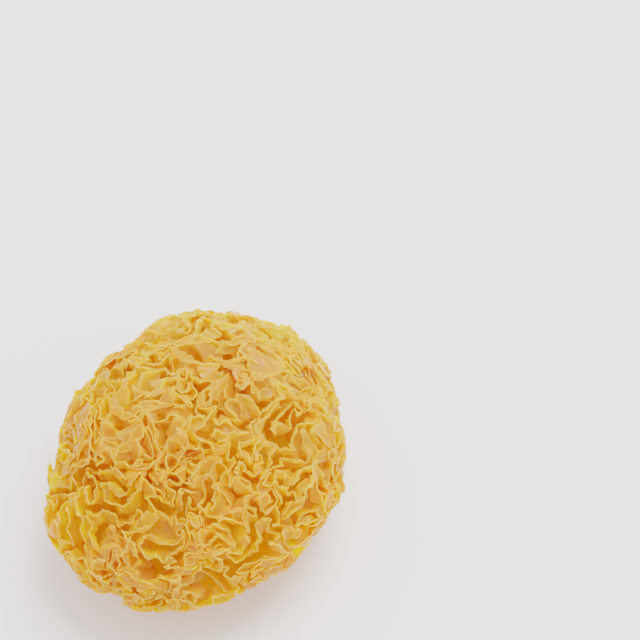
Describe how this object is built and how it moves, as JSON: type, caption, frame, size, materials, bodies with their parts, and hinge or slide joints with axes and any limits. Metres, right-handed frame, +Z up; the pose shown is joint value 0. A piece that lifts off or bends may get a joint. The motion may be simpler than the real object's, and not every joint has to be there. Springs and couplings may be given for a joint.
{
  "type": "dried snow fungus",
  "caption": "Dried snow fungus: a low dome of thin ruffled fronds on a small foot, cut flat to rest on.",
  "frame": {"origin": "middle of the flat cut under the foot", "axes": "+Z up out of the cut, through the dome of fronds; +X along the longer way across"},
  "size_m": [0.1237, 0.1056, 0.0728],
  "materials": {
    "dried_fungus": "dry and horny, pale gold with a low gloss, thin enough at the margins to let light through"
  },
  "bodies": {
    "root": {"snow_fungus": "dried_fungus"}
  },
  "joints": []
}
